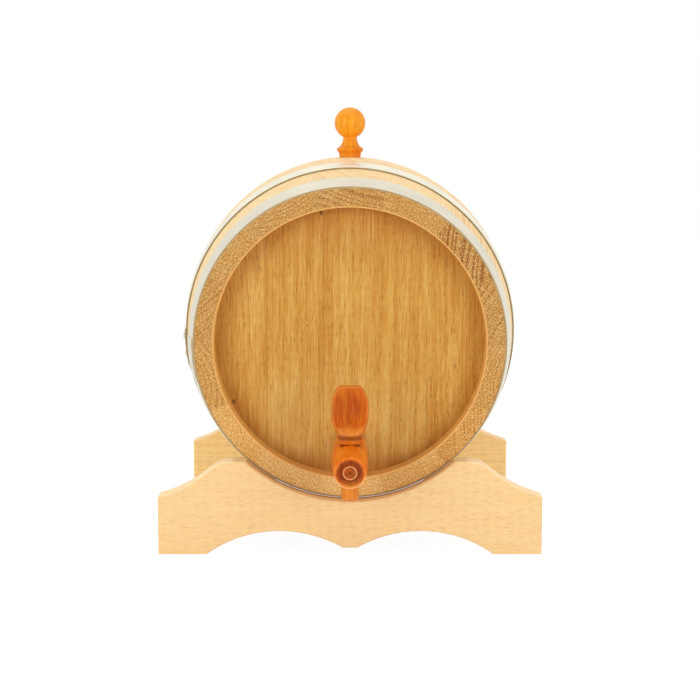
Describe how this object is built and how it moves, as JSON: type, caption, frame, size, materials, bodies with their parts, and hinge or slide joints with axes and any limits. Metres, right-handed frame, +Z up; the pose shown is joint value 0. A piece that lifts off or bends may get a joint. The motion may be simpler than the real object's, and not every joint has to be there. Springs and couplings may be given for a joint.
{
  "type": "cask liquor dispenser",
  "caption": "Small oak cask of bowed staves and steel hoops lying on a scalloped beech stand, with a turned wooden tap in its head and a ball-topped bung in its side",
  "frame": {"origin": "Middle of the footprint on the surface that the stand rests on", "axes": "+Z is up, -Y is the side with the tap, +X is to the right of someone who faces the tap. The cask lies along Y and leans 3.0 degrees towards its tap."},
  "size_m": [0.2228, 0.3054, 0.2639],
  "materials": {
    "oak": "planed and sanded oak with a thin clear coat",
    "hoop_steel": "bright zinc-plated steel strip, satin",
    "rivet_steel": "plain domed steel rivets",
    "dowel_beech": "fluted beech dowel, unfinished",
    "fruitwood": "turned reddish fruitwood, oiled",
    "stand_beech": "sanded steamed beech, unfinished"
  },
  "bodies": {
    "stand": {"stand_front_board": "stand_beech", "stand_rear_board": "stand_beech", "stand_left_rail": "stand_beech", "stand_right_rail": "stand_beech", "stand_dowels": "dowel_beech"},
    "cask": {"bung_stave": "oak", "stave_02": "oak", "stave_03": "oak", "stave_04": "oak", "stave_05": "oak", "stave_06": "oak", "stave_07": "oak", "stave_08": "oak", "stave_09": "oak", "stave_10": "oak", "stave_11": "oak", "stave_12": "oak", "stave_13": "oak", "stave_14": "oak", "front_head_board_1": "oak", "front_head_board_2": "oak", "front_head_board_3": "oak", "front_head_board_4": "oak", "front_head_dowels": "dowel_beech", "rear_head_board_1": "oak", "rear_head_board_2": "oak", "rear_head_board_3": "oak", "rear_head_board_4": "oak", "rear_head_dowels": "dowel_beech", "front_chime_hoop": "hoop_steel", "front_quarter_hoop": "hoop_steel", "rear_quarter_hoop": "hoop_steel", "rear_chime_hoop": "hoop_steel", "hoop_rivets": "rivet_steel", "tap_body": "fruitwood"},
    "bung": {"bung": "fruitwood"},
    "tap_key": {"tap_key": "fruitwood"}
  },
  "joints": [
    {"name": "cask_lift", "type": "slide", "parent": "stand", "child": "cask", "axis": [0, 0, 1], "range_m": [0, 0.1]},
    {"name": "bung_lift", "type": "slide", "parent": "cask", "child": "bung", "axis": [0, -0.053, 0.9986], "range_m": [0, 0.04]},
    {"name": "key_turn", "type": "hinge", "parent": "cask", "child": "tap_key", "pos_m": [0, -0.12141, 0.0599], "axis": [0, -0.053, 0.9986], "continuous": true}
  ]
}
